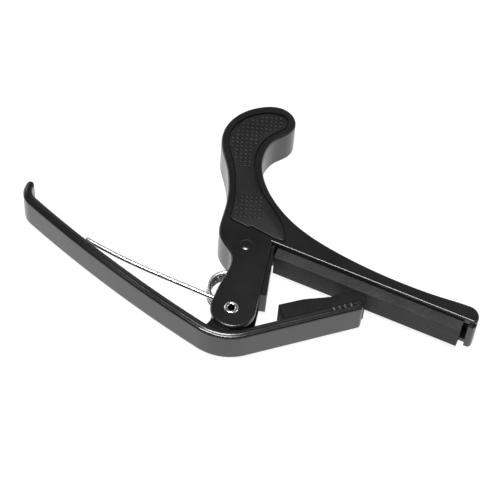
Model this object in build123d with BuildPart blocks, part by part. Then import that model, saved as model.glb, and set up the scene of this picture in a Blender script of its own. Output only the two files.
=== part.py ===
from build123d import *
import os
from math import cos, radians, sin

# Spring-loaded trigger capo, lying on its side.  Millimetres.
# The pivot axis is parallel to Z, the fretboard bar runs along X and the handle rises along +Y.
# Every outline below is drawn from the pivot axis, which stands at PIVOT_X, PIVOT_Y.
PIVOT_X = 2.795
PIVOT_Y = -26.10

# Body casting
BODY_THICKNESS = 11.2
CHEEK_THICKNESS = 1.6
BODY_EDGE_RADIUS = 0.5
LOBE_CENTRE = (0.35, 0.4)
LOBE_RADIUS = 5.65
CHEEK_LEAN = 12.0            # degrees by which the cheeks' fret side leans back from Y
BAR_FACE_Y = 21.8
BAR_END_X = 56.6
BAR_CORNER_RADIUS = 1.1
BAR_TIP_RADIUS = 2.95
WEB_TOP_PROUD = 0.45         # how far the web stands out of the cheeks at the bar
WEB_END_PROUD = 1.65         # and at its lower end
WEB_END_Y = 7.25
WEB_END_TILT = 16.0
WEB_INNER_SET_IN = 2.0
WEB_ROOT = 1.0               # overlap of the web with the casting
SLOT_CEILING_RADIUS = 5.7
SLOT_CEILING_START = 90      # angles of the ceiling's arc about the spring's centre
SLOT_CEILING_END = 20
SLOT_MOUTH = (-8.6, 15.5)    # upper end of the slot's opening, on the handle's side
FIT_GAP = 0.02               # radial gap of a riveted or pressed pin

# Fretboard pad and its channel
PAD_LOW_Z = 1.7
PAD_HIGH_Z = 9.5
PAD_START_X = 3.4
PAD_END_X = 53.3
PAD_FACE_Y = 18.9
CHANNEL_END_X = 54.8
CHANNEL_DEPTH = 0.9
END_SLOT_DEPTH = 3.0         # of the channel's open end, past the pad
END_BLOCK_PROUD = 0.9        # how far the block that closes the channel stands out of the bar's face
END_BLOCK_LOW_Z = 0.3
PAD_EDGE_RADIUS = 0.35

# Grip inlays, one on each side of the handle
INLAY_THICKNESS = 0.9
INLAY_EDGE_RADIUS = 0.1
INLAY_FOOT_Y = 22.75

# Pivot rivet
RIVET_RADIUS = 1.3
RIVET_BORE_RADIUS = 0.92
RIVET_HEAD_RADIUS = 1.72
RIVET_HEAD_DEPTH = 0.5
RIVET_STAND = 0.22
LUG_BORE_RADIUS = RIVET_RADIUS + 0.05

# Torsion spring
WIRE_DIAMETER = 1.25
COIL_CENTRE = (-4.1, 6.4)
COIL_RADIUS = 4.4            # to the middle of the wire
COIL_PITCH = 1.5
LEG_Z = 8.8                  # middle of the moving leg, and of the coil's upper end
FIXED_LEG_ANGLE = 33.0       # where the fixed leg leaves the coil, from +X
ANCHOR_CENTRE = (-4.0, 18.3)
ANCHOR_RADIUS = 1.5
ANCHOR_STAND = 0.12
LEG_CHANNEL_WIDTH = 2.1
LEG_CHANNEL_LENGTH = 11.6
FIXED_LEG_LENGTH = 11.0
LEG_BEND_START = (-22.0, 2.3)
LEG_BEND_RADIUS = 145.0
LEG_BEND_ANGLE = 7.8
LEG_TIP_RADIUS = 0.3

# Lever: squeeze arm, corner under the pivot, jaw arm
LEVER_LOW_Z = 0.6
LEVER_HIGH_Z = 10.6
JAW_ANGLE = 40.8             # direction of the jaw arm, from +X
JAW_INNER_OFFSET = 5.95      # from the pivot axis to the jaw arm's inner face
STRAP_THICKNESS = 2.6
JAW_LENGTH = 32.0
JAW_END_RADIUS = 1.1         # of the jaw arm's outer end corner
CORNER_CENTRE = (-2.44, 5.08)
CORNER_RADIUS = 14.0
SQUEEZE_ANGLE = 169.0        # direction of the squeeze arm where it leaves the corner
ARM_RADIUS = 360.0           # the squeeze arm's gentle bow
ARM_TURN = 8.9
HOOK_OUTER_RADIUS = 4.9
HOOK_INNER_RADIUS = 3.3
LEVER_EDGE_RADIUS = 0.7
LUG_GAP = 0.25
LUG_BOSS_RADIUS = 2.15
RIB_POSITIONS = (24.4, 25.9, 27.3, 28.9)
RIB_WIDTH = 0.45
RIB_LENGTH = 1.1
RIB_HEIGHT = 0.15
RIB_ACROSS = -6.9

# Neck pad on the jaw arm
NECK_PAD_LOW_Z = 1.1
NECK_PAD_HIGH_Z = 10.1
NECK_PAD_START = 11.8        # along the jaw arm, from the pivot
NECK_PAD_WRAP = 0.9          # how far the pad reaches past the end of the arm
NECK_PAD_LIP = 0.7           # how far it then turns down over the end

os.makedirs("parts", exist_ok=True)


def side(height):
    """The drawing plane through the pivot axis at a height above the underside."""
    return Plane((PIVOT_X, PIVOT_Y, height))


def polar(centre, radius, angle):
    """A point at an angle, in degrees, on a circle in the drawing plane."""
    return (centre[0] + radius * cos(radians(angle)), centre[1] + radius * sin(radians(angle)))


def on_jaw(along, across):
    """A point given along the jaw arm and square to it, both from the pivot axis."""
    c = cos(radians(JAW_ANGLE))
    s = sin(radians(JAW_ANGLE))
    return (along * c - across * s, along * s + across * c)


def fret_side(y):
    """X of the cheeks' straight fret side at a height y above the pivot."""
    start = polar(LOBE_CENTRE, LOBE_RADIUS, CHEEK_LEAN)
    return start[0] - (y - start[1]) * sin(radians(CHEEK_LEAN)) / cos(radians(CHEEK_LEAN))


def web_end(distance):
    """A point on the web's lower end, at a distance out of the cheeks' fret side."""
    return polar((fret_side(WEB_END_Y), WEB_END_Y), distance, WEB_END_TILT)


def along_fixed_leg(distance):
    """A point on the fixed leg's line, from where it leaves the coil."""
    start = polar(COIL_CENTRE, COIL_RADIUS, FIXED_LEG_ANGLE)
    return polar(start, distance, FIXED_LEG_ANGLE + 90)


def draw_inlay_outline():
    """The grip inlay's outline, a margin inside the handle, with a small step in its foot."""
    Spline(
        (-11.3, 24.2),
        (-11.95, 27.6),
        (-14.4, 34.5),
        (-17.6, 40.1),
        (-20.9, 44.9),
        (-21.75, 49.2),
        (-20.3, 53.6),
        (-16.7, 57.3),
        (-12.5, 59.0),
        (-9.6, 58.3),
        (-8.8, 56.3),
        (-9.6, 54.4),
        (-11.7, 51.2),
        (-12.7, 47.1),
        (-11.9, 42.6),
        (-8.6, 36.7),
        (-3.4, 32.2),
        (0.9, 28.9),
        (3.9, 25.2),
        (4.6, 23.6),
    )
    Polyline(
        (4.6, 23.6),
        (4.0, INLAY_FOOT_Y + 0.15),
        (1.5, INLAY_FOOT_Y),
        (-4.2, INLAY_FOOT_Y + 0.7),
        (-4.9, INLAY_FOOT_Y + 0.8),
        (-5.5, INLAY_FOOT_Y + 0.15),
        (-10.6, INLAY_FOOT_Y + 0.65),
        (-11.3, 24.2),
    )


LOBE_RIGHT = polar(LOBE_CENTRE, LOBE_RADIUS, CHEEK_LEAN)
LOBE_BOTTOM = polar(LOBE_CENTRE, LOBE_RADIUS, 270)
LOBE_LEFT = polar(LOBE_CENTRE, LOBE_RADIUS, 180)
BAR_CORNER = (fret_side(BAR_FACE_Y), BAR_FACE_Y)

# ---------------------------------------------------------------- body casting
with BuildPart() as body_casting:
    with BuildSketch(side(0)) as outline:
        with BuildLine():
            Line(LOBE_RIGHT, BAR_CORNER)
            Line(BAR_CORNER, (BAR_END_X - BAR_CORNER_RADIUS, BAR_FACE_Y))
            JernArc(
                (BAR_END_X - BAR_CORNER_RADIUS, BAR_FACE_Y), (1, 0), BAR_CORNER_RADIUS, 90
            )
            JernArc((BAR_END_X, BAR_FACE_Y + BAR_CORNER_RADIUS), (0, 1), BAR_TIP_RADIUS, 90)
            Spline(
                (BAR_END_X - BAR_TIP_RADIUS, BAR_FACE_Y + BAR_CORNER_RADIUS + BAR_TIP_RADIUS),
                (46.43, 25.32),
                (38.49, 24.92),
                (27.06, 25.2),
                (15.84, 26.45),
                (5.23, 29.13),
                (-1.71, 32.78),
                (-6.91, 37.31),
                (-10.13, 42.54),
                (-10.96, 47.38),
                (-9.76, 51.33),
                (-7.72, 54.22),
                (-7.08, 56.96),
                (-8.62, 59.81),
                (-12.48, 61.12),
                (-17.63, 59.12),
                (-21.89, 54.56),
                (-23.46, 49.03),
                (-22.4, 44.07),
                (-19.05, 39.24),
                (-15.92, 33.95),
                (-13.81, 28.08),
                (-12.89, 23.08),
                (-11.65, 18.68),
                (-8.57, 15.82),
                (-6.75, 14.55),
                (-5.76, 12.92),
                (-5.23, 8.98),
                (-5.43, 4.61),
                LOBE_LEFT,
                tangents=[(-1, 0), (0, -1)],
            )
            ThreePointArc(LOBE_LEFT, LOBE_BOTTOM, LOBE_RIGHT)
        make_face()
    extrude(amount=BODY_THICKNESS)
    rim = body_casting.faces().filter_by(Axis.Z).edges()
    fillet(rim, BODY_EDGE_RADIUS)
    # web's outer face stands proud of the cheeks
    with BuildSketch(side(CHEEK_THICKNESS)):
        with BuildLine():
            Polyline(
                (fret_side(BAR_FACE_Y) - WEB_ROOT, BAR_FACE_Y + WEB_ROOT),
                (fret_side(BAR_FACE_Y) + WEB_TOP_PROUD, BAR_FACE_Y + WEB_ROOT),
                web_end(WEB_END_PROUD),
                web_end(-WEB_ROOT),
                close=True,
            )
        make_face()
    extrude(amount=BODY_THICKNESS - 2 * CHEEK_THICKNESS)
    # slot between the cheeks: open to the left and at the lobe, closed by the web on the fret side;
    # its right, lower and left corners lie outside the casting
    with BuildSketch(side(CHEEK_THICKNESS)):
        with BuildLine():
            ceiling_start = polar(COIL_CENTRE, SLOT_CEILING_RADIUS, SLOT_CEILING_START)
            ceiling_middle = polar(
                COIL_CENTRE, SLOT_CEILING_RADIUS, (SLOT_CEILING_START + SLOT_CEILING_END) / 2
            )
            ceiling_end = polar(COIL_CENTRE, SLOT_CEILING_RADIUS, SLOT_CEILING_END)
            ThreePointArc(ceiling_start, ceiling_middle, ceiling_end)
            Polyline(
                ceiling_end,
                web_end(-WEB_INNER_SET_IN),
                web_end(4.2),
                (9.0, -8.0),
                (-16.0, -8.0),
                (-16.0, SLOT_MOUTH[1]),
                SLOT_MOUTH,
                ceiling_start,
            )
        make_face()
    extrude(amount=BODY_THICKNESS - 2 * CHEEK_THICKNESS, mode=Mode.SUBTRACT)
    # narrow channel for the spring's fixed leg, past the anchor pin
    with BuildSketch(side(CHEEK_THICKNESS)):
        with Locations(along_fixed_leg(LEG_CHANNEL_LENGTH / 2)):
            SlotCenterToCenter(
                LEG_CHANNEL_LENGTH, LEG_CHANNEL_WIDTH, rotation=FIXED_LEG_ANGLE + 90
            )
    extrude(amount=BODY_THICKNESS - 2 * CHEEK_THICKNESS, mode=Mode.SUBTRACT)
    # channel that holds the fretboard pad, left open between the pad and the end cap
    with BuildSketch(side(PAD_LOW_Z)):
        with BuildLine():
            Polyline(
                (PAD_START_X, BAR_FACE_Y - 1.0),
                (CHANNEL_END_X, BAR_FACE_Y - 1.0),
                (CHANNEL_END_X, BAR_FACE_Y + END_SLOT_DEPTH),
                (PAD_END_X, BAR_FACE_Y + END_SLOT_DEPTH),
                (PAD_END_X, BAR_FACE_Y + CHANNEL_DEPTH),
                (PAD_START_X, BAR_FACE_Y + CHANNEL_DEPTH),
                close=True,
            )
        make_face()
    extrude(amount=PAD_HIGH_Z - PAD_LOW_Z, mode=Mode.SUBTRACT)
    # block that closes the channel at the bar's tip
    with BuildSketch(side(END_BLOCK_LOW_Z)):
        with BuildLine():
            block_y = BAR_FACE_Y - END_BLOCK_PROUD
            block_corner = JernArc(
                (BAR_END_X - BAR_CORNER_RADIUS, block_y), (1, 0), BAR_CORNER_RADIUS, 90
            )
            Polyline(
                block_corner @ 1,
                (BAR_END_X, BAR_FACE_Y + BAR_CORNER_RADIUS),
                (CHANNEL_END_X, BAR_FACE_Y + BAR_CORNER_RADIUS),
                (CHANNEL_END_X, block_y),
                block_corner @ 0,
            )
        make_face()
    extrude(amount=PAD_HIGH_Z - END_BLOCK_LOW_Z)
    # pockets for the grip inlays
    for pocket_base in (0, BODY_THICKNESS - INLAY_THICKNESS):
        with BuildSketch(side(pocket_base)):
            with BuildLine():
                draw_inlay_outline()
            make_face()
        extrude(amount=INLAY_THICKNESS, mode=Mode.SUBTRACT)
    # holes for the anchor pin and the rivet, and the recesses for the rivet's two heads
    with BuildSketch(side(0)):
        Circle(RIVET_RADIUS + FIT_GAP)
        with Locations(ANCHOR_CENTRE):
            Circle(ANCHOR_RADIUS + FIT_GAP)
    extrude(amount=BODY_THICKNESS, mode=Mode.SUBTRACT)
    for recess_base in (0, BODY_THICKNESS - RIVET_HEAD_DEPTH):
        with BuildSketch(side(recess_base)):
            Circle(RIVET_HEAD_RADIUS + FIT_GAP)
        extrude(amount=RIVET_HEAD_DEPTH, mode=Mode.SUBTRACT)

# ---------------------------------------------------------------- grip inlays
with BuildPart() as grip_inlay_front:
    with BuildSketch(side(BODY_THICKNESS - INLAY_THICKNESS)):
        with BuildLine():
            draw_inlay_outline()
        make_face()
    extrude(amount=INLAY_THICKNESS)
    fillet(grip_inlay_front.faces().sort_by(Axis.Z)[-1].edges(), INLAY_EDGE_RADIUS)

with BuildPart() as grip_inlay_back:
    with BuildSketch(side(0)):
        with BuildLine():
            draw_inlay_outline()
        make_face()
    extrude(amount=INLAY_THICKNESS)
    fillet(grip_inlay_back.faces().sort_by(Axis.Z)[0].edges(), INLAY_EDGE_RADIUS)

# ---------------------------------------------------------------- fretboard pad
with BuildPart() as fretboard_pad:
    with BuildSketch(side(PAD_LOW_Z)):
        with BuildLine():
            Polyline(
                (PAD_START_X, PAD_FACE_Y),
                (PAD_END_X, PAD_FACE_Y),
                (PAD_END_X, BAR_FACE_Y + CHANNEL_DEPTH),
                (PAD_START_X, BAR_FACE_Y + CHANNEL_DEPTH),
                close=True,
            )
        make_face()
    extrude(amount=PAD_HIGH_Z - PAD_LOW_Z)
    fillet(fretboard_pad.faces().sort_by(Axis.Y)[0].edges(), PAD_EDGE_RADIUS)

# ---------------------------------------------------------------- pivot rivet
with BuildPart() as pivot_rivet:
    rivet_plane = Plane((PIVOT_X, PIVOT_Y, 0), x_dir=(1, 0, 0), z_dir=(0, -1, 0))
    with BuildSketch(rivet_plane):
        with BuildLine():
            Polyline(
                (RIVET_BORE_RADIUS, 0),
                (RIVET_HEAD_RADIUS, 0),
                (RIVET_HEAD_RADIUS, RIVET_HEAD_DEPTH),
                (RIVET_RADIUS, RIVET_HEAD_DEPTH),
                (RIVET_RADIUS, BODY_THICKNESS - RIVET_HEAD_DEPTH),
                (RIVET_HEAD_RADIUS, BODY_THICKNESS - RIVET_HEAD_DEPTH),
                (RIVET_HEAD_RADIUS, BODY_THICKNESS),
            )
            ThreePointArc(
                (RIVET_HEAD_RADIUS, BODY_THICKNESS),
                ((RIVET_BORE_RADIUS + RIVET_HEAD_RADIUS) / 2, BODY_THICKNESS + RIVET_STAND),
                (RIVET_BORE_RADIUS, BODY_THICKNESS),
            )
            Line((RIVET_BORE_RADIUS, BODY_THICKNESS), (RIVET_BORE_RADIUS, 0))
        make_face()
    revolve(axis=Axis((PIVOT_X, PIVOT_Y, 0), (0, 0, 1)))

# ---------------------------------------------------------------- spring anchor pin
with BuildPart() as spring_anchor_pin:
    with BuildSketch(side(ANCHOR_STAND)):
        with Locations(ANCHOR_CENTRE):
            Circle(ANCHOR_RADIUS)
    extrude(amount=BODY_THICKNESS)
    fillet(spring_anchor_pin.edges().sort_by(Axis.Z)[-1], ANCHOR_STAND)

# ---------------------------------------------------------------- torsion spring: coil and fixed leg
coil_turns = 3 + (FIXED_LEG_ANGLE + 90) / 360
coil_low_z = LEG_Z - COIL_PITCH * coil_turns
coil_place = Pos(PIVOT_X + COIL_CENTRE[0], PIVOT_Y + COIL_CENTRE[1], coil_low_z)
helix = Helix(COIL_PITCH, COIL_PITCH * coil_turns, COIL_RADIUS, lefthand=True)
with BuildPart() as spring_coil:
    with BuildLine() as coil_line:
        add(coil_place * Rot(0, 0, FIXED_LEG_ANGLE) * helix)
    with BuildSketch(Plane(coil_line.line @ 0, z_dir=coil_line.line % 0)):
        Circle(WIRE_DIAMETER / 2)
    sweep(is_frenet=True)
    with BuildSketch(Plane(coil_line.line @ 0, z_dir=-(coil_line.line % 0))):
        Circle(WIRE_DIAMETER / 2)
    extrude(amount=FIXED_LEG_LENGTH)

# ---------------------------------------------------------------- torsion spring: moving leg
with BuildPart() as spring_leg:
    with BuildLine(side(LEG_Z)) as leg_line:
        leg_run = Line(polar(COIL_CENTRE, COIL_RADIUS, 270), LEG_BEND_START)
        JernArc(LEG_BEND_START, leg_run % 1, LEG_BEND_RADIUS, -LEG_BEND_ANGLE)
    with BuildSketch(Plane(leg_line.line @ 0, z_dir=leg_line.line % 0)):
        Circle(WIRE_DIAMETER / 2)
    sweep()
    fillet(spring_leg.edges().sort_by(Axis.X)[0], LEG_TIP_RADIUS)

# ---------------------------------------------------------------- lever
with BuildPart() as lever:
    corner_jaw_out = polar(CORNER_CENTRE, CORNER_RADIUS, JAW_ANGLE - 90)
    corner_jaw_in = polar(CORNER_CENTRE, CORNER_RADIUS - STRAP_THICKNESS, JAW_ANGLE - 90)
    corner_arm_out = polar(CORNER_CENTRE, CORNER_RADIUS, SQUEEZE_ANGLE + 90)
    corner_arm_in = polar(CORNER_CENTRE, CORNER_RADIUS - STRAP_THICKNESS, SQUEEZE_ANGLE + 90)
    arm_heading = (cos(radians(SQUEEZE_ANGLE)), sin(radians(SQUEEZE_ANGLE)))
    jaw_heading = (cos(radians(JAW_ANGLE)), sin(radians(JAW_ANGLE)))
    corner_turn = JAW_ANGLE + 180 - SQUEEZE_ANGLE
    hook_turn = SQUEEZE_ANGLE - ARM_TURN - 90
    with BuildSketch(side(LEVER_LOW_Z)):
        with BuildLine():
            jaw_out = on_jaw(JAW_LENGTH - JAW_END_RADIUS, -JAW_INNER_OFFSET - STRAP_THICKNESS)
            jaw_in = on_jaw(JAW_LENGTH, -JAW_INNER_OFFSET)
            Line(corner_jaw_out, jaw_out)
            jaw_corner = JernArc(jaw_out, jaw_heading, JAW_END_RADIUS, 90)
            Polyline(jaw_corner @ 1, jaw_in, corner_jaw_in)
            JernArc(corner_jaw_out, (-jaw_heading[0], -jaw_heading[1]), CORNER_RADIUS, -corner_turn)
            JernArc(
                corner_jaw_in,
                (-jaw_heading[0], -jaw_heading[1]),
                CORNER_RADIUS - STRAP_THICKNESS,
                -corner_turn,
            )
            arm_out = JernArc(corner_arm_out, arm_heading, ARM_RADIUS, -ARM_TURN)
            arm_in = JernArc(corner_arm_in, arm_heading, ARM_RADIUS - STRAP_THICKNESS, -ARM_TURN)
            hook_out = JernArc(arm_out @ 1, arm_out % 1, HOOK_OUTER_RADIUS, -hook_turn)
            hook_in = JernArc(arm_in @ 1, arm_in % 1, HOOK_INNER_RADIUS, -hook_turn)
            tip_in = hook_in @ 1
            tip_out = Vector((hook_out @ 1).X, tip_in.Y)
            Line(hook_out @ 1, tip_out)
            tip_top = (tip_in + tip_out) / 2 + Vector(0, (tip_in.X - tip_out.X) / 2)
            ThreePointArc(tip_out, tip_top, tip_in)
        make_face()
    extrude(amount=LEVER_HIGH_Z - LEVER_LOW_Z)
    flat_rims = lever.faces().filter_by(Axis.Z).edges()
    fillet(flat_rims, LEVER_EDGE_RADIUS)
    with BuildSketch(side(CHEEK_THICKNESS + LUG_GAP)):
        with BuildLine():
            boss_left = polar((0, 0), LUG_BOSS_RADIUS, 190)
            boss_right = polar((0, 0), LUG_BOSS_RADIUS, 25)
            ThreePointArc(boss_left, (0, LUG_BOSS_RADIUS), boss_right)
            Polyline(boss_right, (5.7, -3.6), (2.0, -7.2), (-3.0, -7.6), (-4.3, -6.6), boss_left)
        make_face()
    extrude(amount=BODY_THICKNESS - 2 * (CHEEK_THICKNESS + LUG_GAP))
    with BuildSketch(side(0)):
        Circle(LUG_BORE_RADIUS)
    extrude(amount=BODY_THICKNESS, mode=Mode.SUBTRACT)
    for rib_base in (LEVER_LOW_Z - RIB_HEIGHT, LEVER_HIGH_Z - RIB_HEIGHT):
        with BuildSketch(side(rib_base)):
            for rib_position in RIB_POSITIONS:
                with Locations(on_jaw(rib_position, RIB_ACROSS)):
                    Rectangle(RIB_WIDTH, RIB_LENGTH, rotation=JAW_ANGLE)
        extrude(amount=2 * RIB_HEIGHT)

# ---------------------------------------------------------------- neck pad
with BuildPart() as neck_pad:
    with BuildSketch(side(NECK_PAD_LOW_Z)):
        with BuildLine():
            Polyline(
                on_jaw(NECK_PAD_START, -JAW_INNER_OFFSET),
                on_jaw(JAW_LENGTH, -JAW_INNER_OFFSET),
                on_jaw(JAW_LENGTH, -JAW_INNER_OFFSET - NECK_PAD_LIP),
                on_jaw(JAW_LENGTH + NECK_PAD_WRAP, -JAW_INNER_OFFSET - NECK_PAD_LIP),
            )
            Spline(
                on_jaw(JAW_LENGTH + NECK_PAD_WRAP, -JAW_INNER_OFFSET - NECK_PAD_LIP),
                on_jaw(33.3, -4.9),
                on_jaw(31.2, -3.2),
                on_jaw(25.5, -3.0),
            )
            Polyline(
                on_jaw(25.5, -3.0),
                on_jaw(18.3, -1.75),
                on_jaw(NECK_PAD_START, -1.6),
                on_jaw(NECK_PAD_START, -JAW_INNER_OFFSET),
            )
        make_face()
    extrude(amount=NECK_PAD_HIGH_Z - NECK_PAD_LOW_Z)

# ---------------------------------------------------------------- files
pieces = {
    "body_casting": body_casting,
    "grip_inlay_front": grip_inlay_front,
    "grip_inlay_back": grip_inlay_back,
    "fretboard_pad": fretboard_pad,
    "pivot_rivet": pivot_rivet,
    "spring_anchor_pin": spring_anchor_pin,
    "spring_coil": spring_coil,
    "spring_leg": spring_leg,
    "lever": lever,
    "neck_pad": neck_pad,
}
for name, piece in pieces.items():
    piece.part.label = name
    export_step(piece.part, f"parts/{name}.step")
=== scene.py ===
import bpy, bmesh, math
import numpy as np
from mathutils import Matrix, Vector


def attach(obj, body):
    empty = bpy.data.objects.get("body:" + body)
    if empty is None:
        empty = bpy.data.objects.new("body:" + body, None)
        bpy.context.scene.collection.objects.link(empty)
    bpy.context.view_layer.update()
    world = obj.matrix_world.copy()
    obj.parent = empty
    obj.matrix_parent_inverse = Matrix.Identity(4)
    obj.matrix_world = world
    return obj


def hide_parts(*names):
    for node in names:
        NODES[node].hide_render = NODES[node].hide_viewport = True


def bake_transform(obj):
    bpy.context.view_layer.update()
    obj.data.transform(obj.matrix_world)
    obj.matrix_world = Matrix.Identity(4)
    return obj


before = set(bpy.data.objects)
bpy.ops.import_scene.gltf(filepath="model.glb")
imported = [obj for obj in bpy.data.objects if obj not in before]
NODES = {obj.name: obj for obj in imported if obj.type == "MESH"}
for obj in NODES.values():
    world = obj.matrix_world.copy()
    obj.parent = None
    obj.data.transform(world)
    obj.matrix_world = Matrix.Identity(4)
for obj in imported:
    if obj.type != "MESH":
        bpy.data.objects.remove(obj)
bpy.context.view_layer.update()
MM = 0.001
PIVOT = (2.795, -26.10)                 # the pivot axis in the row frame, millimetres
TOP_Z = 11.2                            # the body casting's upper face, millimetres


def P(x, y, z):
    """A point given from the pivot axis in millimetres, in the row frame in metres."""
    return Vector(((PIVOT[0] + x) * MM, (PIVOT[1] + y) * MM, z * MM))


# ------------------------------------------------------------------ shader nodes
class Graph:
    """The shader nodes of a material or a world, made with short calls."""

    def __init__(self, owner):
        owner.use_nodes = True
        self.owner = owner
        self.t = owner.node_tree
        self.coord = self.t.nodes.new("ShaderNodeTexCoord")

    def node(self, kind, **props):
        n = self.t.nodes.new(kind)
        for k, v in props.items():
            setattr(n, k, v)
        return n

    def put(self, socket, value):
        if hasattr(value, "is_linked"):
            self.t.links.new(value, socket)
        else:
            socket.default_value = value
        return socket

    def noise(self, scale, detail, rough):
        n = self.node("ShaderNodeTexNoise")
        self.put(n.inputs["Vector"], self.coord.outputs["Object"])
        n.inputs["Scale"].default_value = scale
        n.inputs["Detail"].default_value = detail
        n.inputs["Roughness"].default_value = rough
        return n.outputs["Fac"]

    def voronoi(self, scale):
        n = self.node("ShaderNodeTexVoronoi")
        self.put(n.inputs["Vector"], self.coord.outputs["Object"])
        n.inputs["Scale"].default_value = scale
        return n.outputs["Distance"]

    def remap(self, value, a, b, c, d, smooth=False):
        """value with a..b brought to c..d and held within it."""
        n = self.node("ShaderNodeMapRange", interpolation_type="SMOOTHSTEP" if smooth else "LINEAR")
        self.put(n.inputs["Value"], value)
        for key, v in zip(("From Min", "From Max", "To Min", "To Max"), (a, b, c, d)):
            n.inputs[key].default_value = v
        return n.outputs["Result"]

    def math(self, op, a, b=0.0):
        n = self.node("ShaderNodeMath", operation=op)
        self.put(n.inputs[0], a)
        self.put(n.inputs[1], b)
        return n.outputs[0]

    def mix(self, fac, a, b):
        n = self.node("ShaderNodeMix", data_type="RGBA")
        self.put(n.inputs["Factor"], fac)
        self.put(n.inputs["A"], a)
        self.put(n.inputs["B"], b)
        return n.outputs["Result"]

    def bump(self, height, strength, distance, normal=None):
        n = self.node("ShaderNodeBump")
        n.inputs["Strength"].default_value = strength
        n.inputs["Distance"].default_value = distance
        self.put(n.inputs["Height"], height)
        if normal is not None:
            self.put(n.inputs["Normal"], normal)
        return n.outputs["Normal"]

    def edge(self, radius, lo=0.02, hi=0.35):
        """1 on an edge of the mesh, 0 on its faces."""
        bevel = self.node("ShaderNodeBevel", samples=6)
        bevel.inputs["Radius"].default_value = radius
        geo = self.node("ShaderNodeNewGeometry")
        dot = self.node("ShaderNodeVectorMath", operation="DOT_PRODUCT")
        self.put(dot.inputs[0], bevel.outputs["Normal"])
        self.put(dot.inputs[1], geo.outputs["Normal"])
        return self.remap(self.math("SUBTRACT", 1.0, dot.outputs["Value"]), lo, hi, 0.0, 1.0, True)

    def surface(self, colour, roughness, metallic, specular, normal=None):
        """Sets the Principled shader's inputs and returns the material."""
        bsdf = self.t.nodes["Principled BSDF"]
        self.put(bsdf.inputs["Base Color"], colour)
        self.put(bsdf.inputs["Roughness"], roughness)
        bsdf.inputs["Metallic"].default_value = metallic
        bsdf.inputs["Specular IOR Level"].default_value = specular
        if normal is not None:
            self.put(bsdf.inputs["Normal"], normal)
        return self.owner


def rgb(v, tint=(1.0, 1.0, 1.0)):
    """A grey of value v, with a slight tint, as a colour."""
    return (v * tint[0], v * tint[1], v * tint[2], 1.0)


# ------------------------------------------------------------------ materials
# a bore gets no painted shade beyond the first of these distances from its middle height, and full painted
# shade, with a rougher finish, within the second
BORE_UNSHADED, BORE_SHADED = 5.48, 5.15


def black_paint(name, rough=0.24, dark=0.0075):
    """Semi-gloss black powder coat: fine orange peel, faint cloudiness, lighter rubbed edges."""
    g = Graph(bpy.data.materials.new(name))
    cloud = g.noise(60.0, 4.0, 0.6)
    peel = g.noise(1500.0, 2.0, 0.5)
    grain = g.noise(6500.0, 2.0, 0.6)
    rub = g.math("MULTIPLY", g.edge(0.00035), g.remap(g.noise(700.0, 4.0, 0.7), 0.42, 0.7, 0.0, 1.0))
    tone = g.mix(g.remap(cloud, 0.3, 0.7, 0.0, 1.0),
                 rgb(dark * 0.85, (1, 1, 1.03)), rgb(dark * 1.2, (1, 0.99, 0.98)))
    tone = g.mix(g.math("MULTIPLY", rub, 0.35), tone, rgb(0.07))
    rough_map = g.remap(cloud, 0.25, 0.75, rough - 0.05, rough + 0.06)
    rough_map = g.math("ADD", rough_map, g.remap(grain, 0.3, 0.7, -0.03, 0.03))
    rough_map = g.math("SUBTRACT", rough_map, g.math("MULTIPLY", rub, 0.08))
    normal = g.bump(grain, 0.06, 0.00002, g.bump(peel, 0.07, 0.00006))
    return g.surface(tone, rough_map, 0.0, 0.5, normal)


def grip_rubber(name):
    """Satin moulded grip with a fine pebbled skin."""
    g = Graph(bpy.data.materials.new(name))
    cloud = g.noise(90.0, 3.0, 0.6)
    fine = g.noise(5200.0, 3.0, 0.6)
    pits = g.voronoi(2600.0)
    tone = g.mix(g.remap(cloud, 0.3, 0.7, 0.0, 1.0), rgb(0.0045), rgb(0.0075))
    tone = g.mix(g.math("MULTIPLY", g.edge(0.0002), 0.4), tone, rgb(0.03))
    normal = g.bump(pits, 0.12, 0.00004, g.bump(fine, 0.22, 0.00004))
    return g.surface(tone, g.remap(fine, 0.3, 0.7, 0.40, 0.52), 0.0, 0.26, normal)


def pad_rubber(name, tone_lo, tone_hi, dusty=1.0, sheen=0.30):
    """Matte dark grey silicone: dusty, slightly mottled, with fine grain."""
    g = Graph(bpy.data.materials.new(name))
    cloud = g.noise(140.0, 5.0, 0.65)
    dust = g.noise(2400.0, 4.0, 0.7)
    specks = g.voronoi(1500.0)
    tone = g.mix(g.remap(cloud, 0.3, 0.7, 0.0, 1.0), rgb(tone_lo), rgb(tone_hi))
    tone = g.mix(g.remap(dust, 0.50, 0.72, 0.0, 0.45 * dusty), tone, rgb(0.085))
    tone = g.mix(g.remap(specks, 0.10, 0.02, 0.0, 0.35 * dusty), tone, rgb(0.10))
    tone = g.mix(g.math("MULTIPLY", g.edge(0.0003), 0.45 * dusty), tone, rgb(0.10))
    normal = g.bump(dust, 0.45 + 0.45 * dusty, 0.00009, g.bump(cloud, 0.25, 0.0002))
    return g.surface(tone, g.remap(dust, 0.3, 0.7, 0.60, 0.80), 0.0, sheen, normal)


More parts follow.
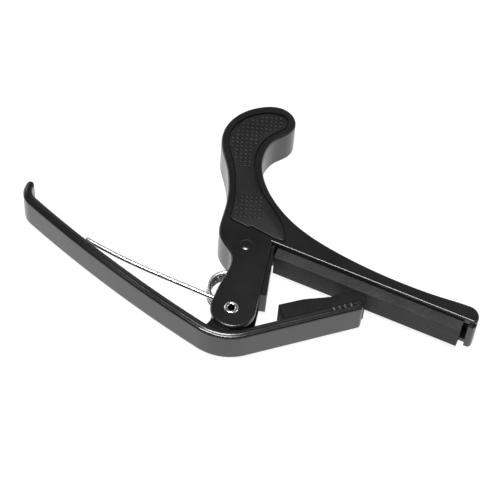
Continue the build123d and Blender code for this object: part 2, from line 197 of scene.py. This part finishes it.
def steel(name, tone, rough, lines_deep, stained, bore=False):
    """Drawn or turned steel: fine lines, small stains and, if the piece is hollow, a bore painted darker
    towards its middle height as shade and made rougher there.
    """
    g = Graph(bpy.data.materials.new(name))
    lines = g.noise(3800.0, 3.0, 0.6)
    stain = g.noise(260.0, 4.0, 0.6)
    tone_map = g.mix(g.remap(stain, 0.35, 0.75, 0.0, 1.0), rgb(tone, (1, 1, 1.01)),
                     rgb(tone * (1 - stained), (1, 0.99, 0.96)))
    rough_map = g.remap(lines, 0.3, 0.7, rough - 0.03, rough + 0.04)
    if bore:
        split = g.node("ShaderNodeSeparateXYZ")
        g.put(split.inputs["Vector"], g.coord.outputs["Object"])
        depth = g.math("ABSOLUTE", g.math("SUBTRACT", split.outputs["Z"], TOP_Z * MM / 2))
        deep = g.remap(depth, BORE_UNSHADED * MM, BORE_SHADED * MM, 0.0, 1.0, True)
        # painted shade: the bore's steel is darkened towards its middle height, where shade falls
        tone_map = g.mix(deep, tone_map, rgb(0.045))
        rough_map = g.math("ADD", rough_map, g.math("MULTIPLY", deep, 0.3))
    return g.surface(tone_map, rough_map, 1.0, 0.5, g.bump(lines, lines_deep, 0.00002))


PAINT = black_paint("black_powder_coat")
LEVER_PAINT = black_paint("black_powder_coat_lever", 0.21, 0.0065)
# painted highlight: the ribs' paint is several times lighter than the rest, standing in for the glint on
# their sharp edges
RIB_HIGHLIGHT_PAINT = black_paint("black_powder_coat_painted_highlight", 0.26, 0.055)
GRIP = grip_rubber("moulded_grip")
PAD = pad_rubber("silicone_pad", 0.012, 0.026)
NECK = pad_rubber("silicone_neck_pad", 0.003, 0.007, 0.25, 0.14)
WIRE = steel("drawn_spring_wire", 0.85, 0.27, 0.01, 0.10)
RIVET = steel("rolled_rivet", 0.80, 0.20, 0.04, 0.2, True)


# ------------------------------------------------------------------ pieces and their faces
def finish_piece(obj, material, body=None):
    """Gives a piece its material, and the body it moves with when one is given; the CAD nodes get none."""
    obj.data.materials.clear()
    obj.data.materials.append(material)
    if body:
        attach(obj, body)
    return obj


def mesh_piece(name, verts, faces, smooth=True):
    """A new object in the scene from its vertices and faces."""
    mesh = bpy.data.meshes.new(name)
    mesh.from_pydata([tuple(v) for v in verts], [], faces)
    mesh.update()
    obj = bpy.data.objects.new(name, mesh)
    bpy.context.scene.collection.objects.link(obj)
    if smooth:
        mesh.polygons.foreach_set("use_smooth", [True] * len(mesh.polygons))
    return obj


def tube_faces(rings, sides, base=0, way=1, foot=True, cap=True):
    """Faces that join closed rings of vertices, numbered from base, and close the first and last ring."""
    faces = []
    for i in range(rings - 1):
        for k in range(sides):
            a, b = base + i * sides + k, base + i * sides + (k + 1) % sides
            faces.append((a, b, b + sides, a + sides))
    if foot:
        faces.append(tuple(base + k for k in range(sides - 1, -1, -1)))
    if cap:
        faces.append(tuple(base + (rings - 1) * sides + k for k in range(sides)))
    return faces if way > 0 else [face[::-1] for face in faces]


def circle_point(centre, radius, angle):
    """The point of a flat circle at an angle, in the unit of its centre and radius."""
    return centre[0] + radius * math.cos(angle), centre[1] + radius * math.sin(angle)


# ------------------------------------------------------------------ torsion spring, one wire
# named sizes are in millimetres unless they say otherwise: x and y from the pivot axis, z from the floor
COIL, COIL_RADIUS, COIL_PITCH = (-4.1, 6.4), 4.4, 1.5
COIL_TURNS = 3 + 123.0 / 360
COIL_START = math.radians(33.0)         # where the fixed leg joins the coil
WIRE_RADIUS, WIRE_TIP = 0.625, 0.3      # the wire, and the rounding of its ends
LEG_Z = 8.8                             # height of the moving leg's middle
COIL_LOW = LEG_Z - COIL_PITCH * COIL_TURNS
FIXED_LEG = 11.0
LEG_BEND, BEND_RADIUS, BEND_ANGLE = (-22.0, 2.3), 145.0, math.radians(7.8)
FIXED_STEPS, TURN_STEPS, LEG_STEPS, BEND_STEPS = 24, 96, 30, 24


def spring_line():
    """Points down the wire's middle, from the fixed leg's end to the moving leg's tip."""
    pts = []
    start = circle_point(COIL, COIL_RADIUS, COIL_START)
    along = (math.cos(COIL_START + math.pi / 2), math.sin(COIL_START + math.pi / 2))
    for i in range(FIXED_STEPS, 0, -1):
        d = FIXED_LEG * i / FIXED_STEPS
        pts.append((start[0] + along[0] * d, start[1] + along[1] * d, COIL_LOW))
    steps = int(TURN_STEPS * COIL_TURNS)
    for i in range(steps + 1):
        a = COIL_START - 2 * math.pi * COIL_TURNS * i / steps
        pts.append((*circle_point(COIL, COIL_RADIUS, a), COIL_LOW + COIL_PITCH * COIL_TURNS * i / steps))
    foot = (COIL[0], COIL[1] - COIL_RADIUS)
    reach = (LEG_BEND[0] - foot[0], LEG_BEND[1] - foot[1])
    for i in range(1, LEG_STEPS + 1):
        t = i / LEG_STEPS
        pts.append((foot[0] + reach[0] * t, foot[1] + reach[1] * t, LEG_Z))
    heading = math.atan2(reach[1], reach[0])
    centre = circle_point(LEG_BEND, BEND_RADIUS, heading - math.pi / 2)
    for i in range(1, BEND_STEPS + 1):
        a = heading + math.pi / 2 - BEND_ANGLE * i / BEND_STEPS
        pts.append((*circle_point(centre, BEND_RADIUS, a), LEG_Z))
    return [P(*p) for p in pts]


def wire_mesh(name, pts, radius, tip, sides=20):
    """A round wire along pts, its ends rounded by tip (metres)."""
    n = len(pts)
    tangents = [(pts[min(i + 1, n - 1)] - pts[max(i - 1, 0)]).normalized() for i in range(n)]
    rings = []
    up = Vector((0, 0, 1))
    for i in range(n):
        side = tangents[i].cross(up).normalized()
        rings.append((pts[i], side, side.cross(tangents[i]).normalized(), radius))

    def end_rings(i, sign):
        p, s, u, _ = rings[i]
        out = []
        for k in (1, 2, 3):
            a = math.pi / 2 * k / 3
            shift = tangents[i] * sign * tip * (math.sin(a) - 1)
            out.append((p + shift, s, u, radius - tip + tip * math.cos(a)))
        return out

    first, last = end_rings(0, -1), end_rings(n - 1, 1)
    cut = tip * 1.2
    middle = [x for x in rings if (x[0] - pts[0]).length > cut and (x[0] - pts[-1]).length > cut]
    every = list(reversed(first)) + middle + last
    verts = []
    for p, s, u, rad in every:
        for k in range(sides):
            a = 2 * math.pi * k / sides
            verts.append(p + s * rad * math.cos(a) + u * rad * math.sin(a))
    obj = mesh_piece(name, verts, tube_faces(len(every), sides))
    bm = bmesh.new()
    bm.from_mesh(obj.data)
    bmesh.ops.recalc_face_normals(bm, faces=bm.faces)
    bm.to_mesh(obj.data)
    bm.free()
    return obj


spring = wire_mesh("torsion_spring", spring_line(), WIRE_RADIUS * MM, WIRE_TIP * MM)
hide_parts("spring_coil", "spring_leg")
finish_piece(spring, WIRE)
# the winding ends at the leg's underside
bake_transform(spring)


# ------------------------------------------------------------------ soft-edged slabs
SHARP = math.radians(38)                # edges sharper than this are not smoothed


def outline_of(node, z):
    """The outline of a CAD node's flat face at height z (metres), in order, as 2-D points in metres."""
    bm = bmesh.new()
    bm.from_mesh(NODES[node].data)
    bmesh.ops.remove_doubles(bm, verts=bm.verts, dist=2e-6)
    rim = []
    for e in bm.edges:
        if all(abs(v.co.z - z) < 5e-6 for v in e.verts):
            flat = [abs(f.normal.z) > 0.9999 for f in e.link_faces]
            if flat.count(True) == 1:
                rim.append(e)
    links = {}
    for e in rim:
        a, b = (v.index for v in e.verts)
        links.setdefault(a, []).append(b)
        links.setdefault(b, []).append(a)
    bm.verts.ensure_lookup_table()
    loops, unused = [], set(links)
    while unused:
        start = min(unused)
        loop, last, here = [start], None, start
        while True:
            onward = [i for i in links[here] if i != last]
            if not onward or (onward[0] == start and len(loop) > 2):
                break
            last, here = here, onward[0]
            loop.append(here)
        unused -= set(loop)
        loops.append([np.array(bm.verts[i].co[:2]) for i in loop])
    bm.free()
    pts = max(loops, key=lambda loop: sum(np.linalg.norm(p - q) for p, q in zip(loop, loop[1:])))
    if np.ptp(pts, axis=0).max() < 0.01:
        raise ValueError("no outline found on " + node)
    twice = sum(a[0] * b[1] - b[0] * a[1] for a, b in zip(pts, pts[1:] + pts[:1]))
    return pts if twice > 0 else pts[::-1]


def even(pts, step):
    """The closed outline with points about step apart, its sharp corners kept."""
    out = []
    for a, b in zip(pts, pts[1:] + pts[:1]):
        n = max(1, int(np.linalg.norm(b - a) / step))
        out += [a + (b - a) * i / n for i in range(n)]
    keep = []
    for p in out:
        if not keep or np.linalg.norm(p - keep[-1]) > step * 0.35:
            keep.append(p)
    return keep


def shrunk(pts, by):
    """The outline moved inwards, with mitred corners."""
    n, out = len(pts), []
    for i in range(n):
        a, p, b = pts[i - 1], pts[i], pts[(i + 1) % n]
        u, v = (p - a) / np.linalg.norm(p - a), (b - p) / np.linalg.norm(b - p)
        m = np.array([-u[1] - v[1], u[0] + v[0]])
        size = np.linalg.norm(m)
        m = m / size
        cos_half = max(0.5, float(m @ np.array([-u[1], u[0]])))
        out.append(p + m * by / cos_half)
    return out


def soft_slab(name, pts, z0, z1, r0, r1, inset=0.0, steps=4):
    """A slab with the given outline; its lower edge is rounded by r0 and its upper edge by r1 (metres)."""
    rings = []
    for k in range(steps + 1 if r0 > 0 else 1):
        a = math.pi / 2 * k / steps
        rings.append((inset + r0 * (1 - math.sin(a)), z0 + r0 * (1 - math.cos(a))))
    for k in range(steps + 1 if r1 > 0 else 1):
        a = math.pi / 2 * k / steps
        rings.append((inset + r1 * (1 - math.cos(a)), z1 - r1 * (1 - math.sin(a))))
    verts = []
    for by, z in rings:
        verts += [(p[0], p[1], z) for p in shrunk(pts, by)]
    obj = mesh_piece(name, verts, tube_faces(len(rings), len(pts)))
    obj.data.set_sharp_from_angle(angle=SHARP)
    return obj


def inside(p, pts):
    """Whether p is inside the outline, and its distance from it."""
    a = np.array(pts)
    b = np.roll(a, -1, axis=0)
    side = b - a
    crossed = (a[:, 1] > p[1]) != (b[:, 1] > p[1])
    rise = np.where(crossed, side[:, 1], 1.0)
    hit = np.count_nonzero(crossed & (p[0] < side[:, 0] * (p[1] - a[:, 1]) / rise + a[:, 0])) % 2 == 1
    t = np.clip(((p - a) * side).sum(axis=1) / (side * side).sum(axis=1), 0.0, 1.0)
    near = np.linalg.norm(p - a - side * t[:, None], axis=1).min()
    return hit, near


# ------------------------------------------------------------------ grip inlays with their raised grid
GRID_PITCH, GRID_TURN = 1.2, math.radians(20.0)
GRID_COLUMNS, GRID_ROWS = range(-40, 41), range(60)
HEAD_FROM = 41.6                        # up the handle: the head's studs start here
PATCH_UP, PATCH_ACROSS, PATCH_Y = (26.2, 33.8), (-1.9, 6.6), 24.2
INLAY_DEPTH, GROOVE, INLAY_EDGE = 0.9, 0.36, 0.32
STUD_MARGIN = 1.15                      # from the inlay's outline to a stud's middle
FRONT_STUD = {"z": TOP_Z, "rise": 0.21, "half": 0.45, "way": 1}
BACK_STUD = {"z": 0.13, "rise": 0.12, "half": 0.44, "way": -1}


def in_grid_zone(x, y):
    """Whether a stud stands at x, y: all over the head, and in a patch near the foot."""
    up = -x * math.sin(GRID_TURN) + y * math.cos(GRID_TURN)
    across = x * math.cos(GRID_TURN) + y * math.sin(GRID_TURN)
    in_patch = PATCH_UP[0] < up < PATCH_UP[1] and PATCH_ACROSS[0] < across < PATCH_ACROSS[1]
    return up > HEAD_FROM or (in_patch and y > PATCH_Y)


def stud(verts, faces, cx, cy, z, rise, half, way):
    """A small raised square with sloping, softened sides."""
    base = len(verts)
    c, s = math.cos(GRID_TURN), math.sin(GRID_TURN)
    levels = ((half, -0.05), (half * 0.90, rise * 0.45), (half * 0.60, rise * 0.85), (half * 0.20, rise))
    for h, dz in levels:
        k = h * 0.62
        for dx, dy in ((h, -k), (h, k), (k, h), (-k, h), (-h, k), (-h, -k), (-k, -h), (k, -h)):
            verts.append(P(cx + dx * c - dy * s, cy + dx * s + dy * c, z + dz * way))
    faces += tube_faces(len(levels), 8, base, way, foot=False)


def grip_inlay(name, node, front):
    """The inlay in its pocket: a fine groove all round, a rounded rim and rows of studs."""
    z_in = (TOP_Z - INLAY_DEPTH) * MM if front else INLAY_DEPTH * MM
    pts = even(outline_of(node, z_in), 0.35 * MM)
    if front:
        slab = soft_slab(name, pts, z_in, TOP_Z * MM, 0.0, INLAY_EDGE * MM, GROOVE * MM)
    else:
        slab = soft_slab(name, pts, 0.0, z_in, INLAY_EDGE * MM, 0.0, GROOVE * MM)
    verts, faces = [], []
    c, s = math.cos(GRID_TURN), math.sin(GRID_TURN)
    for i in GRID_COLUMNS:
        for j in GRID_ROWS:
            u, v = (i + 0.5) * GRID_PITCH, (j + 0.5) * GRID_PITCH
            x, y = u * c - v * s, u * s + v * c
            if not in_grid_zone(x, y):
                continue
            hit, near = inside(np.array([(PIVOT[0] + x) * MM, (PIVOT[1] + y) * MM]), pts)
            if hit and near > STUD_MARGIN * MM:
                stud(verts, faces, x, y, **(FRONT_STUD if front else BACK_STUD))
    studs = mesh_piece(name + "_studs", verts, faces)
    return slab, studs


for side_name, front in (("front", True), ("back", False)):
    slab, studs = grip_inlay("grip_" + side_name, "grip_inlay_" + side_name, front)
    finish_piece(slab, GRIP, "body")
    finish_piece(studs, GRIP, "body")
    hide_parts("grip_inlay_" + side_name)


# ------------------------------------------------------------------ anchor pin with a sloping shoulder
PIN_PLACE, PIN_RADIUS, PIN_FLAT, PIN_TOP = (-4.0, 18.3), 1.53, 0.86, 11.38
PIN_FOOT = [(1.3, 0.12), (PIN_RADIUS, 0.32)]
SHOULDER_LEAN, SHOULDER_STEPS = math.radians(24.0), 8


def lathe(name, centre, profile, sides=48):
    """A turned piece about a vertical line through centre; profile is (radius, z) from foot to top."""
    verts = []
    for r, z in profile:
        verts += [P(*circle_point(centre, r, 2 * math.pi * k / sides), z) for k in range(sides)]
    obj = mesh_piece(name, verts, tube_faces(len(profile), sides))
    obj.data.set_sharp_from_angle(angle=SHARP)
    return obj


def pin_shoulder():
    """The (radius, z) of the pin's shoulder from its edge up to the flat, ever less steep."""
    slope = []
    for i in range(SHOULDER_STEPS + 1):
        t = i / SHOULDER_STEPS
        lean = SHOULDER_LEAN * math.sin(math.pi / 2 * t)
        slope.append((PIN_FLAT + (PIN_RADIUS - PIN_FLAT) * t, lean))
    profile, z = [(PIN_FLAT, PIN_TOP)], PIN_TOP
    for (r0, l0), (r1, l1) in zip(slope, slope[1:]):
        z -= (r1 - r0) * math.tan((l0 + l1) / 2)
        profile.append((r1, z))
    return profile[::-1]


pin = lathe("anchor_pin", PIN_PLACE, PIN_FOOT + pin_shoulder())
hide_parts("spring_anchor_pin")
finish_piece(pin, PAINT, "body")

# ------------------------------------------------------------------ neck pad with soft edges
NECK_LOW, NECK_TOP, NECK_EDGE = 1.1, 10.1, 0.28

neck_pts = even(outline_of("neck_pad", NECK_LOW * MM), 0.5 * MM)
neck = soft_slab("jaw_pad", neck_pts, NECK_LOW * MM, NECK_TOP * MM, NECK_EDGE * MM, NECK_EDGE * MM)
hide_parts("neck_pad")
finish_piece(neck, NECK, "lever")

# ------------------------------------------------------------------ lever: crowned faces and the four ribs
LEVER_TOP, LEVER_LOW = 10.6, 0.6
CROWN, CROWN_WIDTH = 0.2, 0.6           # the bulge's height, and how far from the edge it is reached
JAW_ANGLE = math.radians(40.8)
RIBS, RIB_ACROSS = (24.4, 25.9, 27.3, 28.9), -6.9
RIB_HALF, RIB_WIDE, RIB_RISE = 0.55, 0.26, 0.40


def on_jaw(along, across, z):
    """A point along the jaw arm and square to it, both from the pivot axis in millimetres."""
    c, s = math.cos(JAW_ANGLE), math.sin(JAW_ANGLE)
    return P(along * c - across * s, along * s + across * c, z)


def half_widths(pts, widest):
    """For each outline point, its inward direction and half the distance to the strap's other side."""
    p = np.array(pts)
    u = p - np.roll(p, 1, axis=0)
    side = np.roll(p, -1, axis=0) - p
    u = u / np.linalg.norm(u, axis=1)[:, None]
    v = side / np.linalg.norm(side, axis=1)[:, None]
    inward = np.stack([-u[:, 1] - v[:, 1], u[:, 0] + v[:, 0]], axis=1)
    inward /= np.linalg.norm(inward, axis=1)[:, None]
    half = np.full(len(p), widest)
    for i in range(len(p)):
        away = p - p[i]
        cross = inward[i, 0] * side[:, 1] - inward[i, 1] * side[:, 0]
        cross = np.where(np.abs(cross) < 1e-12, 1e-12, cross)
        t = (away[:, 0] * side[:, 1] - away[:, 1] * side[:, 0]) / cross
        along = (away[:, 0] * inward[i, 1] - away[:, 1] * inward[i, 0]) / cross
        hits = t[(t > 1e-5) & (along >= 0) & (along <= 1)]
        if len(hits):
            half[i] = min(widest, hits.min() / 2)
    smooth = sum(np.roll(half, k) for k in (-2, -1, 0, 1, 2)) / 5
    return p, inward, np.minimum(half, smooth)


def crown(name, face_z, way):
    """The lever's cast faces bulge a little: rings rise from the flat face's outline to its middle line."""
    widest, rings = CROWN_WIDTH * MM, 8
    p, inward, half = half_widths(even(outline_of("lever", face_z * MM), 0.45 * MM), widest)
    verts = []
    for k in range(rings):
        t = k / (rings - 1)
        ring = p + inward * (half * 0.985 * t)[:, None]
        rise = CROWN * MM * half / widest * math.sin(math.pi / 2 * t)
        verts += [(q[0], q[1], face_z * MM + way * h) for q, h in zip(ring, rise)]
    return mesh_piece(name, verts, tube_faces(rings, len(p), way=way, foot=False, cap=False))


def ribs(name, face_z, way):
    """Four short rounded ribs across the jaw arm's face."""
    verts, faces, arc = [], [], 8
    for along in RIBS:
        base = len(verts)
        for end in (-1, -0.8, 0.8, 1):
            low, narrow = (0.35, 0.8) if abs(end) == 1 else (1.0, 1.0)
            for k in range(arc + 1):
                a = math.pi * k / arc
                z = face_z + way * (CROWN * 0.4 + RIB_RISE * math.sin(a) * low)
                verts.append(on_jaw(along + RIB_WIDE * math.cos(a) * narrow, RIB_ACROSS + RIB_HALF * end, z))
        for i in range(3):
            for k in range(arc):
                a = base + i * (arc + 1) + k
                quad = (a, a + 1, a + arc + 2, a + arc + 1)
                faces.append(quad if way > 0 else quad[::-1])
        for i, flip in ((0, False), (3, True)):
            cap = tuple(base + i * (arc + 1) + k for k in range(arc + 1))
            faces.append(cap if flip == (way > 0) else cap[::-1])
    return mesh_piece(name, verts, faces)


for side_name, face_z, way in (("front", LEVER_TOP, 1), ("back", LEVER_LOW, -1)):
    finish_piece(crown("lever_crown_" + side_name, face_z, way), LEVER_PAINT, "lever")
    finish_piece(ribs("jaw_ribs_" + side_name, face_z, way), RIB_HIGHLIGHT_PAINT, "lever")

# ------------------------------------------------------------------ CAD nodes kept as they are
for node, material, slot in (
    ("body_casting", PAINT, "black_paint"),
    ("fretboard_pad", PAD, "pad_rubber"),
    ("pivot_rivet", RIVET, "rivet_steel"),
    ("lever", LEVER_PAINT, "black_paint"),
):
    finish_piece(NODES[node], material)

# ------------------------------------------------------------------ camera, fitted to the photo
ELEVATION, AZIMUTH, ROLL = math.radians(58.0), math.radians(19.14), math.radians(5.38)
CAMERA_AT = P(81.29, -224.29, 420.3)

cam_data = bpy.data.cameras.new("camera")
cam = bpy.data.objects.new("camera", cam_data)
bpy.context.scene.collection.objects.link(cam)
bpy.context.scene.camera = cam
cam_data.lens, cam_data.sensor_width = 138.8, 36.0
cam_data.clip_start, cam_data.clip_end = 0.01, 10.0
level = math.cos(ELEVATION)
look = Vector((-math.sin(AZIMUTH) * level, math.cos(AZIMUTH) * level, -math.sin(ELEVATION)))
right = Vector((math.cos(AZIMUTH), math.sin(AZIMUTH), 0))
up = right.cross(look)
cam_right = right * math.cos(ROLL) + up * math.sin(ROLL)
cam_up = up * math.cos(ROLL) - right * math.sin(ROLL)
turn = Matrix((cam_right, cam_up, -look)).transposed().to_4x4()
cam.matrix_world = Matrix.Translation(CAMERA_AT) @ turn

# ------------------------------------------------------------------ floor
FLOOR_HALF, FLOOR_Z = 3, -0.00002       # metres; just under the object
FLOOR_TONE, FLOOR_GLOW = 0.16, 0.88     # mostly its own glow, so that the lights change it little


def pale_floor():
    """A matte floor, barely mottled, that emits most of its brightness."""
    g = Graph(bpy.data.materials.new("pale_floor"))
    cloud = g.remap(g.noise(6.0, 3.0, 0.5), 0.3, 0.7, 0.0, 1.0)
    bsdf = g.t.nodes["Principled BSDF"]
    bsdf.inputs["Emission Color"].default_value = rgb(1.0)
    bsdf.inputs["Emission Strength"].default_value = FLOOR_GLOW
    return g.surface(g.mix(cloud, rgb(FLOOR_TONE), rgb(FLOOR_TONE * 0.985)), 0.7, 0.0, 0.3)


corners = [(x * FLOOR_HALF, y * FLOOR_HALF, FLOOR_Z) for x, y in ((-1, -1), (1, -1), (1, 1), (-1, 1))]
floor = mesh_piece("floor", corners, [(0, 1, 2, 3)], False)
floor.data.materials.append(pale_floor())


# ------------------------------------------------------------------ lights, all aimed at the frame's origin
def area(name, location, size, size_y, power):
    """A rectangular light, in metres and watts."""
    data = bpy.data.lights.new(name, "AREA")
    data.shape, data.size, data.size_y, data.energy = "RECTANGLE", size, size_y, power
    obj = bpy.data.objects.new(name, data)
    bpy.context.scene.collection.objects.link(obj)
    obj.location = location
    obj.rotation_mode = "QUATERNION"
    obj.rotation_quaternion = (-Vector(location)).to_track_quat("-Z", "Y")


for name, location, size, size_y, power in (
    ("key", (-0.04, -0.22, 1.1), 0.44, 0.34, 19.0),
    ("strip_left", (-1.0, 0.25, 0.35), 0.5, 0.25, 2.0),
    ("strip_right", (1.0, 0.25, 0.35), 0.5, 0.25, 1.5),
):
    area(name, location, size, size_y, power)


# ------------------------------------------------------------------ world
HORIZON_TONE, ZENITH_TONE = 0.95, 0.45
SKY_TONES = ((0.22, 0.75), (0.50, 0.22), (0.72, 0.06), (0.90, 0.08), (0.965, 0.25))


def studio():
    """A surround, pale low down, darkest at mid height, with a black card on its -Y side."""
    g = Graph(bpy.data.worlds.new("studio"))
    split = g.node("ShaderNodeSeparateXYZ")
    g.put(split.inputs["Vector"], g.coord.outputs["Generated"])
    sky = g.node("ShaderNodeValToRGB")
    g.put(sky.inputs["Fac"], split.outputs["Z"])
    stops = sky.color_ramp.elements
    stops[0].position, stops[0].color = 0.0, rgb(HORIZON_TONE)
    stops[1].position, stops[1].color = 1.0, rgb(ZENITH_TONE)
    for height, tone in SKY_TONES:
        stops.new(height).color = rgb(tone)
    # the card draws the dark line beside each bright edge
    front = g.remap(split.outputs["Y"], -0.25, -0.55, 0.0, 1.0, True)
    high = g.remap(split.outputs["Z"], 0.04, 0.14, 0.0, 1.0, True)
    shade = g.mix(g.math("MULTIPLY", front, high), sky.outputs["Color"], rgb(0.02))
    g.put(g.t.nodes["Background"].inputs["Color"], shade)
    return g.owner


bpy.context.scene.world = studio()
bpy.context.scene.view_settings.view_transform = "Standard"
